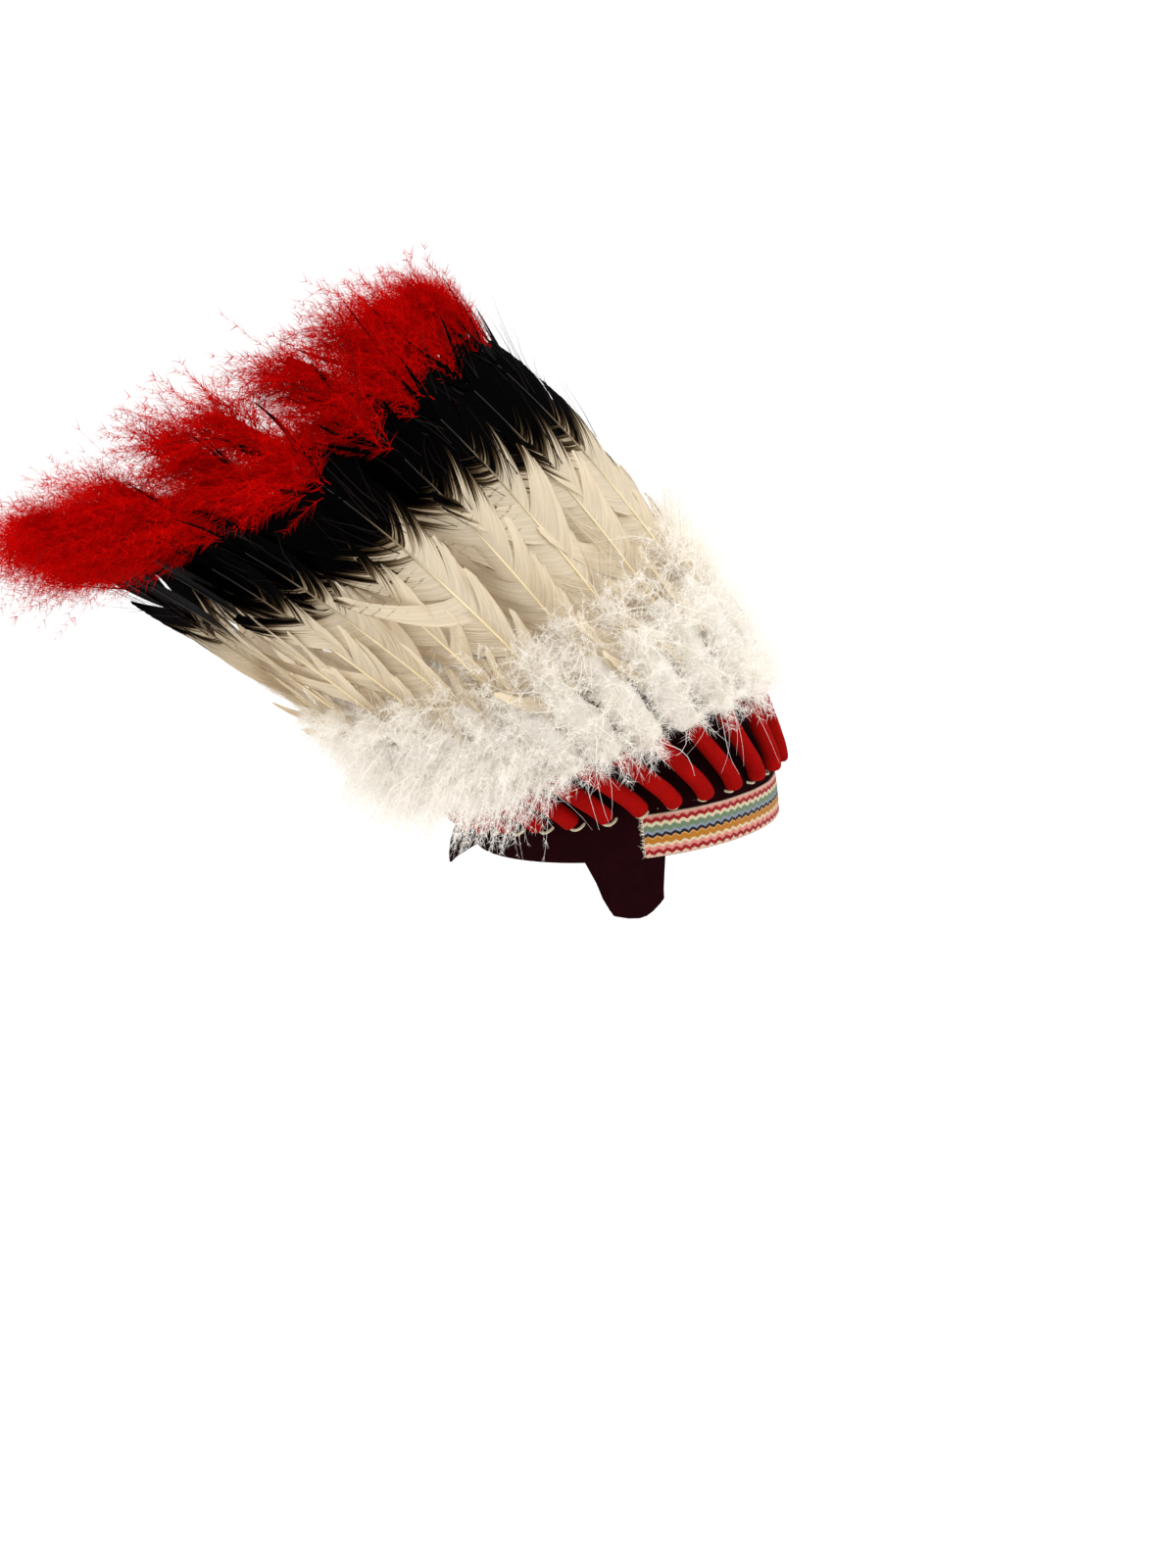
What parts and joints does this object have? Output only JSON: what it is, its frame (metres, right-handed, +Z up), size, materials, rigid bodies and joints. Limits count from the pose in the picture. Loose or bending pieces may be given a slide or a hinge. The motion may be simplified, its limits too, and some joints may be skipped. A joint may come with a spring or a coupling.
{
  "type": "feathered headdress",
  "caption": "Felt skull cap with hanging ear flaps, a woven zigzag trim round the brow and a fan of long upright feathers with white down at the foot and red plumes at the tips.",
  "frame": {"origin": "centre of the head opening, in the plane of the cap's lower edge", "axes": "+Z up, wearer looks along -Y, wearer's right is -X"},
  "size_m": [0.311, 0.4668, 0.3745],
  "materials": {
    "maroon_felt": "napped felt, very dark maroon",
    "woven_trim": "woven ribbon with zigzag rows",
    "cotton_lace": "off-white twisted cotton",
    "red_felt": "napped felt, red",
    "feather": "ivory vane with a black outer part, white down and red plume"
  },
  "bodies": {
    "root": {"felt_cap": "maroon_felt", "trim_band": "woven_trim", "lacing_cord": "cotton_lace", "quill_wrap_01": "red_felt", "quill_wrap_02": "red_felt", "quill_wrap_03": "red_felt", "quill_wrap_04": "red_felt", "quill_wrap_05": "red_felt", "quill_wrap_06": "red_felt", "quill_wrap_07": "red_felt", "quill_wrap_08": "red_felt", "quill_wrap_09": "red_felt", "quill_wrap_10": "red_felt", "quill_wrap_11": "red_felt", "quill_wrap_12": "red_felt", "quill_wrap_13": "red_felt", "quill_wrap_14": "red_felt", "quill_wrap_15": "red_felt", "quill_wrap_16": "red_felt", "quill_wrap_17": "red_felt", "quill_wrap_18": "red_felt", "quill_wrap_19": "red_felt", "quill_wrap_20": "red_felt", "quill_wrap_21": "red_felt", "quill_wrap_22": "red_felt", "quill_wrap_23": "red_felt", "quill_wrap_24": "red_felt", "quill_wrap_25": "red_felt", "quill_wrap_26": "red_felt", "quill_wrap_27": "red_felt", "feather_01": "feather", "feather_02": "feather", "feather_03": "feather", "feather_04": "feather", "feather_05": "feather", "feather_06": "feather", "feather_07": "feather", "feather_08": "feather", "feather_09": "feather", "feather_10": "feather", "feather_11": "feather", "feather_12": "feather", "feather_13": "feather", "feather_14": "feather", "feather_15": "feather", "feather_16": "feather", "feather_17": "feather", "feather_18": "feather", "feather_19": "feather", "feather_20": "feather", "feather_21": "feather", "feather_22": "feather", "feather_23": "feather", "feather_24": "feather", "feather_25": "feather", "feather_26": "feather", "feather_27": "feather"}
  },
  "joints": []
}
